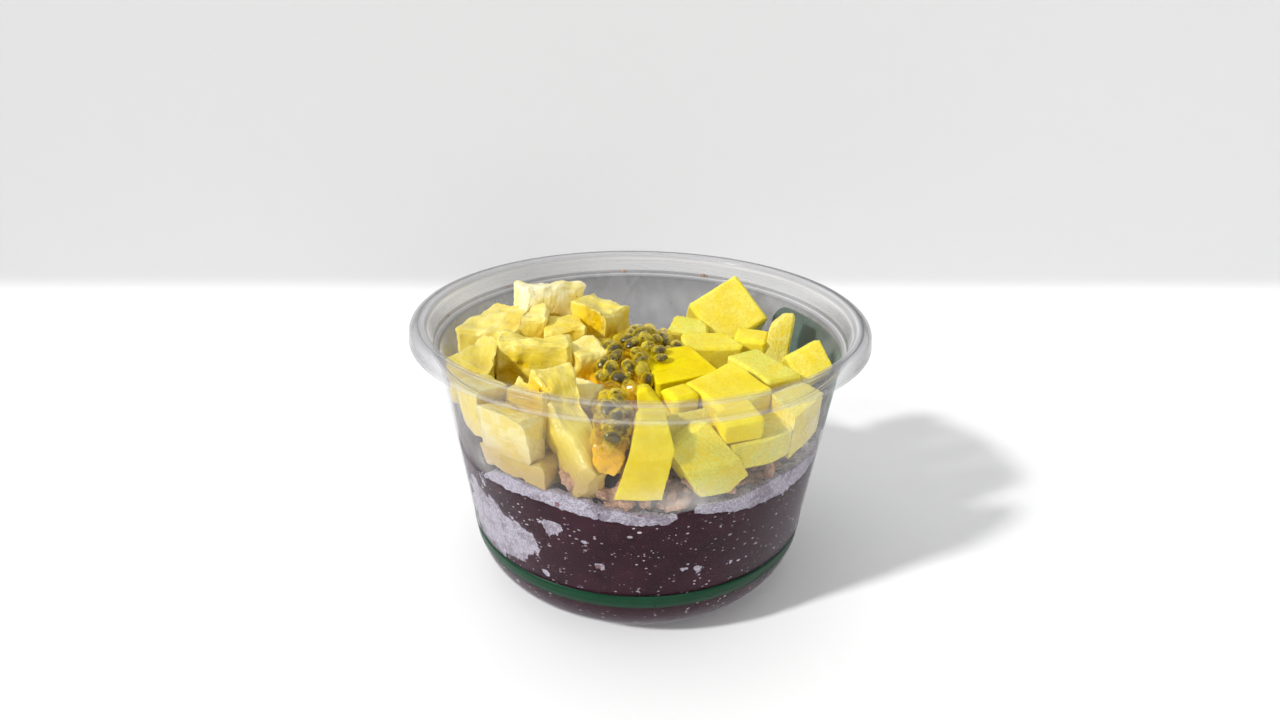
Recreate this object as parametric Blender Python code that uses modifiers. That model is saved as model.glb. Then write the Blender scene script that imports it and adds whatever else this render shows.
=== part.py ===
"""An acai bowl: a clear tub of frozen berry blend, granola, passion fruit pulp and cut fruit.

Lengths are in millimetres until an object is made, which turns them into metres.
The origin is at the centre of the tub's flat base, and +Z is up.
"""

import bmesh
import bpy
import numpy as np
from math import cos, exp, pi, radians, sin, sqrt
from mathutils import Matrix, Vector

MM = 0.001
GAP = 0.3  # clear space kept between pieces that touch

# The tub, a thermoformed sheet. Radii and heights are those of its outer side.
TUB_HEIGHT = 73.0
SHEET = 0.6
BASE_RADIUS = 30.7
CORNER_RADIUS = 15.3
CORNER_LAST_ANGLE = -7.2
WALL_TOP_RADIUS = 52.5
WALL_TOP = 65.4
LEDGE_RADIUS = 53.6
LEDGE = 66.2
LIP_INNER_RADIUS = 56.1
LIP_OUTER_RADIUS = 56.9
LIP_ROLL = 1.2
SKIRT_RADIUS = 58.4
SKIRT_BOTTOM = 69.2
ROUND_STEPS = 56

CORNER_STEPS = 6

# The berry blend. Its surface is level inside and meets the wall at an uneven height.
BLEND_SURFACE = 42.6
BLEND_LEVEL_RADIUS = 34.0
BLEND_RINGS = 8
BLEND_EDGE = 43.2
EDGE_WAVES = 6
EDGE_WAVE_ANGLE = radians(125)
EDGE_WAVE_HEIGHT = 1.4
EDGE_WAVE_EXTRA = 0.5  # higher waves at the front, lower ones at the back

# What lies on it.
FRUIT_FLOOR = 45.7
EDGE_ROUND = 0.7
GRANOLA_TOP = 51.0
GRANOLA_FALL = 3.0  # from its middle to its rim
GRANOLA_LUMP = 0.8
GRANOLA_REACH = 38.0
GRANOLA_SPREAD = (15.6, radians(-62), 5.0)  # further reach, where, and how narrow
GRANOLA_BAY = (16.0, radians(-120), 16.0)  # a hollow in its rim, in the same terms
PULP_MOUND = ((0, -4, 52), (16, 23, 14.5))
PULP_RUN = ((-6, -37.5, 55.5), (5.5, 16, 8))
PULP_LUMPS = ((0.06, 7, 6), (0.05, 5, 8))  # height, and waves one way and the other

CLEAR = ("clear_tub", (0.85, 0.86, 0.88), 0.1)
BERRY = ("berry_blend", (0.05, 0.025, 0.035), 0.5)
CRUMB = ("granola", (0.45, 0.24, 0.1), 0.8)
PULP = ("passion_pulp", (0.75, 0.36, 0.02), 0.2)
PINEAPPLE = ("pineapple", (0.9, 0.74, 0.25), 0.4)
MANGO = ("mango", (0.9, 0.68, 0.04), 0.4)

# Each chunk of fruit: centre, size (width, depth, height), how far it is turned about its own
# upright, how far its top then leans forward, which way it leans, and how much its far end narrows.
# The first ones keep their whole shape, and a later one is cut flat where it meets an earlier one.
FRUIT = {
    "mango_square": ((25.7, 27.4, 60.6), (17.2, 16.4, 12.0), 34, 49, 0, 0.0),
    "mango_wedge": ((31.0, 10.0, 56.0), (9.0, 8.0, 12.0), -15, 5, 0, 0.0),
    "mango_peak": ((38.6, 10.5, 61.5), (12.5, 14.0, 8.0), -27, 72, 0, 0.86),
    "mango_flat": ((31.0, -12.2, 58.5), (17.5, 10.0, 8.0), -60, 3, 0, 0.0),
    "mango_bright": ((9.8, -12.2, 56.2), (17.0, 14.0, 13.0), 22, 8, 0, 0.2),
    "mango_front": ((20.8, -27.0, 59.3), (15.0, 14.5, 9.0), 37, 10, 0, 0.0),
    "mango_side": ((44.0, -4.5, 58.8), (10.0, 9.0, 9.0), 28, 50, 0, 0.0),
    "mango_bar": ((19.5, 7.0, 56.5), (16.0, 9.0, 10.0), 5, 5, 0, 0.0),
    "mango_back": ((14.0, 17.5, 56.0), (12.0, 9.0, 12.0), -10, 8, 0, 0.2),
    "mango_tip": ((2.6, -30.5, 60.0), (8.0, 9.0, 7.0), 24, 75, 0, 0.7),
    "mango_bit": ((9.5, -30.5, 60.0), (6.0, 6.0, 7.0), 30, 5, 0, 0.0),
    "mango_slope": ((15.0, -43.0, 51.7), (11.0, 16.5, 9.0), 35, 62, 15, 0.0),
    "mango_block": ((3.0, -44.5, 54.3), (15.5, 18.0, 12.0), 0, 78, 0, 0.6),
    "mango_low": ((25.8, -36.8, 54.0), (16.0, 10.0, 6.5), 25, 5, 0, 0.0),
    "mango_wall": ((36.5, -29.5, 56.0), (13.5, 13.0, 11.5), 45, 10, 0, 0.0),
    "mango_shelf": ((12.5, -37.5, 57.3), (17.0, 10.0, 7.0), 10, 8, 0, 0.0),
    "mango_sliver": ((21.5, -39.0, 60.3), (9.5, 8.0, 5.0), 20, 5, 0, 0.0),
    "pineapple_top": ((-27.5, 23.2, 61.5), (17.5, 14.0, 18.5), 24, -12, 0, 0.0),
    "pineapple_slab": ((-16.4, -36.5, 57.0), (9.5, 29.0, 8.0), 180, 34, 30, 0.5),
    "pineapple_centre": ((-28.3, -4.5, 58.5), (18.5, 11.0, 13.0), 3, -8, 0, 0.0),
    "pineapple_left": ((-38.8, 11.0, 58.9), (15.5, 20.5, 12.0), -14, 4, 0, 0.15),
    "pineapple_pulp": ((-11.5, 16.5, 60.5), (13.0, 13.0, 15.0), -35, 0, 0, 0.0),
    "pineapple_side": ((-40.3, -11.5, 57.5), (12.0, 12.0, 13.0), -25, 5, 0, 0.0),
    "pineapple_inner": ((-14.5, -4.0, 57.0), (8.0, 9.0, 12.0), 25, 5, 0, 0.0),
    "pineapple_small": ((-29.3, 9.5, 61.5), (7.0, 8.0, 12.0), 5, 0, 0, 0.0),
    "pineapple_under": ((-21.0, 8.0, 58.5), (11.0, 9.0, 12.0), 10, 0, 0, 0.0),
    "pineapple_flake": ((-15.0, -23.5, 57.5), (12.0, 9.0, 6.0), -20, 10, 0, 0.3),
    "pineapple_round": ((-28.8, -37.5, 55.3), (13.5, 8.0, 10.0), -35, 0, 0, 0.0),
    "pineapple_low": ((-26.5, -35.0, 48.7), (18.0, 10.0, 7.0), -35, 0, 0, 0.0),
    "pineapple_tan": ((-36.5, -29.5, 58.5), (9.0, 8.0, 10.0), -45, 0, 0, 0.0),
    "pineapple_deep": ((-25.0, -31.5, 57.5), (10.0, 9.0, 14.0), -15, 0, 0, 0.0),
}


def material_of(look):
    name, colour, roughness = look
    found = bpy.data.materials.get(name)
    if found:
        return found
    made = bpy.data.materials.new(name)
    made.use_nodes = True
    shader = made.node_tree.nodes["Principled BSDF"]
    shader.inputs["Base Color"].default_value = (*colour, 1.0)
    shader.inputs["Roughness"].default_value = roughness
    return made


def add_object(name, bm, look, collection):
    """Makes an object of a bmesh in millimetres."""
    bmesh.ops.scale(bm, vec=(MM, MM, MM), verts=bm.verts)
    mesh = bpy.data.meshes.new(name)
    bm.to_mesh(mesh)
    bm.free()
    obj = bpy.data.objects.new(name, mesh)
    obj.data.materials.append(material_of(look))
    collection.objects.link(obj)
    return obj


def arc(centre, radius, start, end, steps):
    """Points on an arc in the (radius, height) plane, both ends included."""
    angles = np.linspace(radians(start), radians(end), steps + 1)
    return [(centre[0] + radius * cos(a), centre[1] + radius * sin(a)) for a in angles]


def corner(inset, steps):
    """The tub's base corner, from the flat base up to the wall, set in by a distance."""
    return arc((BASE_RADIUS, CORNER_RADIUS), CORNER_RADIUS - inset, -90, CORNER_LAST_ANGLE, steps)


CORNER_TOP_RADIUS, CORNER_TOP = corner(0.0, 1)[-1]
WALL_SLOPE = (WALL_TOP_RADIUS - CORNER_TOP_RADIUS) / (WALL_TOP - CORNER_TOP)


def inner_radius(z, gap):
    """Radius at a height on the straight wall, a gap in from the tub's inner side."""
    return CORNER_TOP_RADIUS + WALL_SLOPE * (z - CORNER_TOP) - SHEET - gap


def turned(name, profile, look, collection, steps=ROUND_STEPS):
    """Turns a profile of (radius, height) points round the Z axis."""
    bm = bmesh.new()
    verts = [bm.verts.new((radius, 0.0, height)) for radius, height in profile]
    for first, second in zip(verts, verts[1:]):
        bm.edges.new((first, second))
    obj = add_object(name, bm, look, collection)
    screw = obj.modifiers.new("turn", "SCREW")
    screw.steps = steps
    screw.render_steps = steps
    screw.use_merge_vertices = True
    screw.merge_threshold = 0.00001
    return obj


def build_tub(collection):
    lip_centre = TUB_HEIGHT - SHEET - LIP_ROLL
    profile = [(SKIRT_RADIUS, SKIRT_BOTTOM)]
    profile += arc((LIP_OUTER_RADIUS, lip_centre), LIP_ROLL, 0, 90, 3)
    profile += arc((LIP_INNER_RADIUS, lip_centre), LIP_ROLL, 90, 180, 3)
    profile += [(LEDGE_RADIUS, LEDGE), (WALL_TOP_RADIUS, WALL_TOP)]
    profile += corner(0.0, CORNER_STEPS)[::-1]
    profile += [(0.0, 0.0)]
    tub = turned("tub", profile, CLEAR, collection)
    solidify = tub.modifiers.new("sheet", "SOLIDIFY")
    solidify.thickness = SHEET * MM
    solidify.offset = -1
    solidify.use_even_offset = True


def blend_edge(angle):
    """Height at which the blend meets the wall, highest at the front left and front right."""
    depth = EDGE_WAVE_HEIGHT - EDGE_WAVE_EXTRA * sin(angle)
    return BLEND_EDGE + depth * cos(EDGE_WAVES * (angle + EDGE_WAVE_ANGLE))


def blend_surface(x, y):
    sloping = inner_radius(BLEND_EDGE, GAP) - BLEND_LEVEL_RADIUS
    share = min(1.0, max(0.0, (sqrt(x * x + y * y) - BLEND_LEVEL_RADIUS) / sloping))
    return BLEND_SURFACE + share**2 * (blend_edge(np.arctan2(y, x)) - BLEND_SURFACE)


def build_blend(collection):
    side = [(inner_radius(z, GAP), z) for z in (BLEND_EDGE, CORNER_TOP)]
    rings = np.linspace(0.0, side[0][0], BLEND_RINGS)
    profile = [(radius, BLEND_EDGE) for radius in rings[:-1]]
    profile += side
    profile += corner(SHEET + GAP, CORNER_STEPS)[-2::-1]
    profile += [(0.0, SHEET + GAP)]
    blend = turned("berry_blend", profile, BERRY, collection)
    bpy.context.view_layer.update()
    solid = bpy.data.meshes.new_from_object(blend.evaluated_get(bpy.context.evaluated_depsgraph_get()))
    blend.modifiers.clear()
    blend.data = solid
    for vert in solid.vertices:
        if abs(vert.co.z - BLEND_EDGE * MM) < 1e-6:
            vert.co.z = MM * blend_surface(vert.co.x / MM, vert.co.y / MM)


def slice_off(bm, point, normal):
    """Cuts a convex solid flat, losing what lies beyond the point in the normal's direction."""
    geometry = bm.verts[:] + bm.edges[:] + bm.faces[:]
    cut = bmesh.ops.bisect_plane(
        bm, geom=geometry, plane_co=point, plane_no=normal, clear_outer=True, dist=1e-5
    )
    rim = [part for part in cut["geom_cut"] if isinstance(part, bmesh.types.BMEdge)]
    if len(rim) > 2:
        bmesh.ops.contextual_create(bm, geom=rim)


def chunk_of(centre, size, spin, lean, turn, narrowing):
    """A cut block of fruit with eased edges."""
    bm = bmesh.new()
    bmesh.ops.create_cube(bm, size=1.0)
    for vert in bm.verts:
        if vert.co.y > 0:
            vert.co.x *= 1 - narrowing
    bmesh.ops.scale(bm, vec=size, verts=bm.verts)
    bmesh.ops.bevel(bm, geom=bm.edges[:], offset=EDGE_ROUND, segments=1, affect="EDGES")
    turned_by = Matrix.Rotation(radians(turn), 4, "Z") @ Matrix.Rotation(radians(lean), 4, "X")
    place = Matrix.Translation(centre) @ turned_by @ Matrix.Rotation(radians(spin), 4, "Z")
    bmesh.ops.transform(bm, matrix=place, verts=bm.verts)
    return bm


def keep_inside_tub(bm):
    """Cuts a chunk flat against the floor and against each facet of the wall that it would cross."""
    slice_off(bm, (0, 0, FRUIT_FLOOR), (0, 0, -1))
    flat = cos(pi / ROUND_STEPS)
    for step in range(ROUND_STEPS):
        angle = 2 * pi * (step + 0.5) / ROUND_STEPS
        outward = Vector((cos(angle), sin(angle), -WALL_SLOPE)).normalized()
        point = Vector((cos(angle), sin(angle), 0)) * inner_radius(FRUIT_FLOOR, GAP) * flat
        point.z = FRUIT_FLOOR
        if max(outward.dot(vert.co - point) for vert in bm.verts) > 0:
            slice_off(bm, point, outward)


def clear_of(bm, faces):
    """Cuts a chunk flat along the face of its neighbour that it crosses least."""
    depths = []
    for point, outward in faces:
        depths.append(GAP - min(outward.dot(vert.co - point) for vert in bm.verts))
    least = int(np.argmin(depths))
    if depths[least] > 0:
        point, outward = faces[least]
        slice_off(bm, point + outward * GAP, -outward)


def build_fruit(collection):
    """Makes every chunk, and returns the solids' meshes in millimetres for the heaps to fit round."""
    placed = {}
    flats = {}
    for name, shape in FRUIT.items():
        bm = chunk_of(*shape)
        keep_inside_tub(bm)
        for faces in flats.values():
            clear_of(bm, faces)
        bmesh.ops.remove_doubles(bm, verts=bm.verts, dist=0.02)
        bmesh.ops.recalc_face_normals(bm, faces=bm.faces)
        bm.normal_update()
        flats[name] = [(face.calc_center_median(), face.normal.copy()) for face in bm.faces]
        placed[name] = bm.copy()
        look = MANGO if name.startswith("mango") else PINEAPPLE
        add_object(name, bm, look, collection)
    return placed


def cutter_of(name, bm, collection):
    """A chunk grown by the gap, to cut a heap with."""
    bm.normal_update()
    grown = {vert: vert.co + vert.normal * vert.calc_shell_factor() * GAP for vert in bm.verts}
    for vert, place in grown.items():
        vert.co = place
    cutter = add_object(name + "_room", bm, CLEAR, collection)
    cutter.hide_render = True
    cutter.display_type = "WIRE"
    return cutter


def combine(heap, other, operation):
    boolean = heap.modifiers.new(other.name, "BOOLEAN")
    boolean.object = other
    boolean.operation = operation
    boolean.solver = "EXACT"


def swell(angle, height, where, narrowness):
    """A smooth rise and fall round one angle."""
    return height * exp(narrowness * (cos(angle - where) - 1))


def granola_reach(angle):
    """How far the granola spreads: to the wall at the front right, less far at the front left."""
    waves = sin(7 * angle)
    return GRANOLA_REACH + swell(angle, *GRANOLA_SPREAD) - swell(angle, *GRANOLA_BAY) + waves


def build_granola(collection):
    bm = bmesh.new()
    bmesh.ops.create_uvsphere(bm, u_segments=40, v_segments=14, radius=1.0)
    wall = inner_radius(BLEND_EDGE, 2 * GAP) * cos(pi / ROUND_STEPS)
    for vert in bm.verts:
        x, y, z = vert.co
        angle = np.arctan2(y, x)
        share = min(1.0, sqrt(x * x + y * y))
        reach = min(granola_reach(angle), wall)
        vert.co.x = share * reach * cos(angle)
        vert.co.y = share * reach * sin(angle)
        floor = blend_surface(vert.co.x, vert.co.y) + GAP
        lumps = GRANOLA_LUMP * (sin(0.55 * vert.co.x + 1.0) * sin(0.6 * vert.co.y) - 1)
        top = GRANOLA_TOP - GRANOLA_FALL * share**2 + lumps
        vert.co.z = floor + max(0.0, z) ** 0.6 * (top - floor)
    bmesh.ops.recalc_face_normals(bm, faces=bm.faces)
    return add_object("granola", bm, CRUMB, collection)


def mound(name, place, radii, segments, collection):
    """A soft lumpy mound, cut level where it rests on the granola."""
    bm = bmesh.new()
    bmesh.ops.create_uvsphere(bm, u_segments=segments, v_segments=segments // 2 + 2, radius=1.0)
    for vert in bm.verts:
        x, y, z = vert.co
        (wide, across, along), (fine, aslant, up) = PULP_LUMPS
        lumps = 1 + wide * sin(across * x + 2) * sin(along * y) + fine * sin(up * z + aslant * x)
        vert.co = Vector(place) + lumps * Vector((x * radii[0], y * radii[1], z * radii[2]))
    keep_inside_tub(bm)
    slice_off(bm, (0, 0, GRANOLA_TOP + GAP), (0, 0, -1))
    return add_object(name, bm, PULP, collection)


def build_heaps(collection, cutters, solids):
    """Makes the granola and the pulp, each cut round the fruit that it meets."""
    rooms = [cutter_of(name, bm, cutters) for name, bm in solids.items()]
    granola = build_granola(collection)
    pulp = mound("passion_pulp", *PULP_MOUND, 20, collection)
    run = mound("pulp_run", *PULP_RUN, 14, cutters)
    run.hide_render = True
    run.display_type = "WIRE"
    combine(pulp, run, "UNION")
    for room in rooms:
        combine(granola, room, "DIFFERENCE")
        combine(pulp, room, "DIFFERENCE")


def main():
    for obj in list(bpy.data.objects):
        bpy.data.objects.remove(obj)
    scene = bpy.context.scene
    bowl = bpy.data.collections.new("acai_bowl")
    scene.collection.children.link(bowl)
    cutters = bpy.data.collections.new("cutters")
    scene.collection.children.link(cutters)
    build_tub(bowl)
    build_blend(bowl)
    solids = build_fruit(bowl)
    build_heaps(bowl, cutters, solids)


main()
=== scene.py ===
# The looks of an acai bowl: a clear tub of frozen berry blend, granola, passion fruit pulp and cut fruit.
from math import atan2, cos, degrees, exp, hypot, pi, radians, sin, sqrt
from random import Random

import bmesh
import bpy
import numpy as np
from mathutils import Matrix, Vector, noise
from mathutils.bvhtree import BVHTree


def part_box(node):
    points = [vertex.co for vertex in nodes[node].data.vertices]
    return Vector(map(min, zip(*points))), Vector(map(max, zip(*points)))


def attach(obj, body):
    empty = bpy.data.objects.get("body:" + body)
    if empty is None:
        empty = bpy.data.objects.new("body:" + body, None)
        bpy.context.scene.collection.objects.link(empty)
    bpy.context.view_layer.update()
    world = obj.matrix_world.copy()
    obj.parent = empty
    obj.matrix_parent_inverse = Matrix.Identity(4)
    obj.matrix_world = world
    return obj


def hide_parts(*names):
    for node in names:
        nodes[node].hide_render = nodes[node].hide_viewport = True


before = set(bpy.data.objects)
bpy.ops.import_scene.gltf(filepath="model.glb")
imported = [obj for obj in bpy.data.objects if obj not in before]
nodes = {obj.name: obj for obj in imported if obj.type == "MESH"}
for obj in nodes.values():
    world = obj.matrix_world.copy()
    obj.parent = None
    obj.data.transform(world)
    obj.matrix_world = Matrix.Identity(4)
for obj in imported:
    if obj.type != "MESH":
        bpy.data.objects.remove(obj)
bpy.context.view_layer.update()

mm = 0.001


# ---- shared tools for materials

def put(tree, kind, inputs=None, **settings):
    node = tree.nodes.new("ShaderNode" + kind)
    for key, value in settings.items():
        setattr(node, key, value)
    for key, value in (inputs or {}).items():
        feed(tree, node.inputs[key], value)
    return node


def feed(tree, socket, value):
    if isinstance(value, bpy.types.NodeSocket):
        tree.links.new(value, socket)
    elif isinstance(value, tuple) and socket.type == "RGBA":
        socket.default_value = (*value, 1.0)
    else:
        socket.default_value = value


def calc(tree, operation, *values, clamp=False):
    node = put(tree, "Math", operation=operation, use_clamp=clamp)
    for socket, value in zip(node.inputs, values):
        feed(tree, socket, value)
    return node.outputs[0]


def remap(tree, value, low, high, toLow=0.0, toHigh=1.0):
    node = put(tree, "MapRange", {"Value": value, "From Min": low, "From Max": high,
                                  "To Min": toLow, "To Max": toHigh}, interpolation_type="SMOOTHSTEP")
    return node.outputs[0]


def mixColour(tree, factor, first, second):
    node = put(tree, "Mix", data_type="RGBA")
    for index, value in ((0, factor), (6, first), (7, second)):
        feed(tree, node.inputs[index], value)
    return node.outputs[2]


def scaled(tree, vector, scale):
    node = put(tree, "VectorMath", operation="MULTIPLY")
    feed(tree, node.inputs[0], vector)
    feed(tree, node.inputs[1], scale)
    return node.outputs[0]


def newMaterial(name, **values):
    material = bpy.data.materials.new(name)
    material.use_nodes = True
    tree = material.node_tree
    shader = tree.nodes["Principled BSDF"]
    for key, value in values.items():
        feed(tree, shader.inputs[key.replace("_", " ")], value)
    return material, tree, shader


def placeOf(tree):
    return put(tree, "TexCoord").outputs["Object"]


def painted(tree, name, output="Fac"):
    return put(tree, "Attribute", attribute_name=name).outputs[output]


def bump(tree, shader, height, distance, strength=1.0):
    node = put(tree, "Bump", {"Height": height, "Distance": distance, "Strength": strength})
    tree.links.new(node.outputs[0], shader.inputs["Normal"])


def newGroup(name, inputs, output):
    group = bpy.data.node_groups.new(name, "ShaderNodeTree")
    for label, kind, value in inputs:
        socket = group.interface.new_socket(label, in_out="INPUT", socket_type="NodeSocket" + kind)
        if value is not None:
            socket.default_value = value
    group.interface.new_socket(output, in_out="OUTPUT", socket_type="NodeSocketFloat")
    return group, group.nodes.new("NodeGroupInput").outputs, group.nodes.new("NodeGroupOutput").inputs[0]


def use(tree, group, **values):
    return put(tree, "Group", values, node_tree=group).outputs[0]


# Soft two-scale blotches, 0 to 1.
mottle, given, result = newGroup("mottle", [("Vector", "Vector", None), ("Scale", "Float", 100.0),
                                           ("Contrast", "Float", 1.0)], "Value")
broad = put(mottle, "TexNoise", {"Vector": given["Vector"], "Scale": given["Scale"], "Detail": 2.0})
fine = put(mottle, "TexNoise", {"Vector": given["Vector"], "Detail": 3.0,
                                "Scale": calc(mottle, "MULTIPLY", given["Scale"], 4.3)})
both = calc(mottle, "MULTIPLY_ADD", fine.outputs[0], 0.4, calc(mottle, "MULTIPLY", broad.outputs[0], 0.6))
centred = calc(mottle, "SUBTRACT", both, 0.5)
stretchedOut = calc(mottle, "MULTIPLY", centred, calc(mottle, "MULTIPLY", given["Contrast"], 2.5))
mottle.links.new(calc(mottle, "ADD", stretchedOut, 0.5, clamp=True), result)

# Round specks of uneven size in a share of the cells of a grid.
specks, given, result = newGroup("specks", [("Vector", "Vector", None), ("Scale", "Float", 500.0),
                                           ("Size", "Float", 0.2), ("Share", "Float", 0.3)], "Mask")
cells = put(specks, "TexVoronoi", {"Vector": given["Vector"], "Scale": given["Scale"]})
chance = put(specks, "SeparateColor", {"Color": cells.outputs["Color"]}).outputs
reach = calc(specks, "MULTIPLY", given["Size"], calc(specks, "POWER", chance[1], 1.5))
inside = remap(specks, calc(specks, "DIVIDE", cells.outputs["Distance"], calc(specks, "ADD", reach, 0.01)),
               1.0, 0.7)
chosen = calc(specks, "LESS_THAN", chance[0], given["Share"])
specks.links.new(calc(specks, "MULTIPLY", inside, chosen), result)

# Scratches and flow lines that run round the tub.
streaks, given, result = newGroup("streaks", [("Vector", "Vector", None), ("Across", "Float", 500.0),
                                             ("Along", "Float", 14.0)], "Value")
axes = put(streaks, "SeparateXYZ", {"Vector": given["Vector"]}).outputs
radius = calc(streaks, "SQRT", calc(streaks, "MULTIPLY_ADD", axes[0], axes[0],
                                    calc(streaks, "MULTIPLY", axes[1], axes[1])))
lineUp = put(streaks, "CombineXYZ", {
    "X": calc(streaks, "MULTIPLY", axes[0], given["Along"]),
    "Y": calc(streaks, "MULTIPLY", axes[1], given["Along"]),
    "Z": calc(streaks, "MULTIPLY", calc(streaks, "ADD", radius, axes[2]), given["Across"])})
lines = put(streaks, "TexNoise", {"Vector": lineUp.outputs[0], "Scale": 1.0, "Detail": 2.0})
streaks.links.new(remap(streaks, lines.outputs[0], 0.36, 0.66), result)


# ---- shared tools for meshes

def addPiece(name, source, material, replaced=(), smooth=True):
    mesh = source
    if isinstance(source, bmesh.types.BMesh):
        mesh = bpy.data.meshes.new(name)
        source.to_mesh(mesh)
        source.free()
    mesh.polygons.foreach_set("use_smooth", [smooth] * len(mesh.polygons))
    piece = bpy.data.objects.new(name, mesh)
    if material:
        mesh.materials.append(material)
    bpy.context.scene.collection.objects.link(piece)
    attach(piece, "root")
    if replaced:
        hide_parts(*replaced)
    return piece


def mergedCopy(node):
    bm = bmesh.new()
    bm.from_mesh(nodes[node].data)
    bmesh.ops.remove_doubles(bm, verts=bm.verts, dist=0.005 * mm)
    bm.normal_update()
    return bm


def remeshed(bm, voxel, smoothing=2):
    source = bpy.data.meshes.new("source")
    bm.to_mesh(source)
    bm.free()
    holder = bpy.data.objects.new("holder", source)
    bpy.context.scene.collection.objects.link(holder)
    even = holder.modifiers.new("even", "REMESH")
    even.mode = "VOXEL"
    even.voxel_size = voxel
    ease = holder.modifiers.new("ease", "SMOOTH")
    ease.factor = 0.5
    ease.iterations = smoothing
    mesh = bpy.data.meshes.new_from_object(holder.evaluated_get(bpy.context.evaluated_depsgraph_get()))
    bpy.data.objects.remove(holder)
    bpy.data.meshes.remove(source)
    mesh.materials.clear()
    return mesh


def pointsOf(mesh, what="co"):
    flat = np.zeros(len(mesh.vertices) * 3)
    if what == "co":
        mesh.vertices.foreach_get("co", flat)
    else:
        mesh.vertex_normals.foreach_get("vector", flat)
    return flat.reshape(-1, 3)


def movePoints(mesh, points):
    mesh.vertices.foreach_set("co", points.ravel())
    mesh.update()


def paint(mesh, name, values):
    values = np.asarray(values, float)
    kind = "FLOAT_VECTOR" if values.ndim == 2 else "FLOAT"
    layer = mesh.attributes.new(name, kind, "POINT")
    layer.data.foreach_set("vector" if values.ndim == 2 else "value", values.ravel())


def roughness(points, scale, octaves=2, seed=0.0):
    shift = Vector((seed, -seed, 0.5 * seed))
    return np.array([noise.fractal(Vector(p) * scale + shift, 0.8, 2.0, octaves) for p in points])


def eased(share):
    share = min(1.0, max(0.0, share))
    return share * share * (3 - 2 * share)


# ---- camera, floor and light

view = {
    "lens": 21.49,
    "place": Vector((0, -189.9, 138.6)) * mm,
    "tilt": 66.99,
    "roll": 1.03,
    "floorEnd": ((-0.3452, 0.1993), (0.3767, 0.2398)),  # a line on the floor where the backdrop starts
    "backdropHeight": 1.5,
    "sunFrom": (210, 34),  # azimuth and height of the main light, in degrees
    "sunStrength": 2.7,
    "sunWidth": 4.5,
    "daylight": 0.385,
    "softStrength": 0.7,
    "frontStrength": 1.9,
}


def buildView():
    scene = bpy.context.scene
    scene.view_settings.view_transform = "Standard"
    camera = bpy.data.objects.new("camera", bpy.data.cameras.new("camera"))
    camera.data.lens = view["lens"]
    camera.data.clip_start = 0.01
    camera.matrix_world = (Matrix.Translation(view["place"]) @ Matrix.Rotation(radians(view["tilt"]), 4, "X")
                           @ Matrix.Rotation(radians(view["roll"]), 4, "Z"))
    scene.collection.objects.link(camera)
    scene.camera = camera

    start, end = (Vector((*point, 0)) for point in view["floorEnd"])
    along = (end - start).normalized()
    back = Vector((-along.y, along.x, 0))
    middle = start.lerp(end, 0.5)
    cove = 18 * mm
    outline = [(-4.0, 0.0), (-cove, 0.0)]
    outline += [(cove * (sin(a) - 1), cove * (1 - cos(a))) for a in (pi / 2 * k / 8 for k in range(1, 9))]
    outline.append((0.0, view["backdropHeight"]))
    bm = bmesh.new()
    line = [bm.verts.new(middle + back * out + Vector((0, 0, up)) - along * 4) for out, up in outline]
    edges = [bm.edges.new(pair) for pair in zip(line, line[1:])]
    moved = bmesh.ops.extrude_edge_only(bm, edges=edges)["geom"]
    bmesh.ops.translate(bm, vec=along * 8, verts=[v for v in moved if isinstance(v, bmesh.types.BMVert)])
    mesh = bpy.data.meshes.new("studioFloor")
    bmesh.ops.recalc_face_normals(bm, faces=bm.faces)
    bm.to_mesh(mesh)
    bm.free()
    material, tree, shader = newMaterial("paperSweep", Roughness=0.9)
    shader.inputs["Specular IOR Level"].default_value = 0.1
    height = put(tree, "SeparateXYZ", {"Vector": placeOf(tree)}).outputs[2]
    paper = mixColour(tree, remap(tree, height, 0.0, 16 * mm), (0.99, 0.99, 0.99), (0.665, 0.665, 0.665))
    tree.links.new(paper, shader.inputs["Base Color"])
    mesh.materials.append(material)
    mesh.polygons.foreach_set("use_smooth", [True] * len(mesh.polygons))
    floor = bpy.data.objects.new("studioFloor", mesh)
    scene.collection.objects.link(floor)

    azimuth, rise = (radians(a) for a in view["sunFrom"])
    towards = Vector((cos(azimuth) * cos(rise), sin(azimuth) * cos(rise), sin(rise)))
    lights = (("mainLight", "SUN", towards, view["sunStrength"], view["sunWidth"]),
              ("softTop", "AREA", Vector((-0.25, 0.15, 1.0)), view["softStrength"], 0.5),
              ("softFront", "AREA", Vector((0.3, -1.0, 0.3)), view["frontStrength"], 0.5))
    for name, kind, direction, strength, width in lights:
        light = bpy.data.objects.new(name, bpy.data.lights.new(name, kind))
        light.data.energy = strength
        light.location = direction.normalized() * 0.9
        light.rotation_euler = direction.to_track_quat("Z", "Y").to_euler()
        if kind == "SUN":
            light.data.angle = radians(width)
        else:
            light.data.size = width
        scene.collection.objects.link(light)

    world = bpy.data.worlds.new("studio")
    world.use_nodes = True
    world.node_tree.nodes["Background"].inputs["Color"].default_value = (0.985, 0.985, 0.99, 1.0)
    world.node_tree.nodes["Background"].inputs["Strength"].default_value = view["daylight"]
    scene.world = world
    print("camera, floor and light")


# ---- the tub

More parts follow.
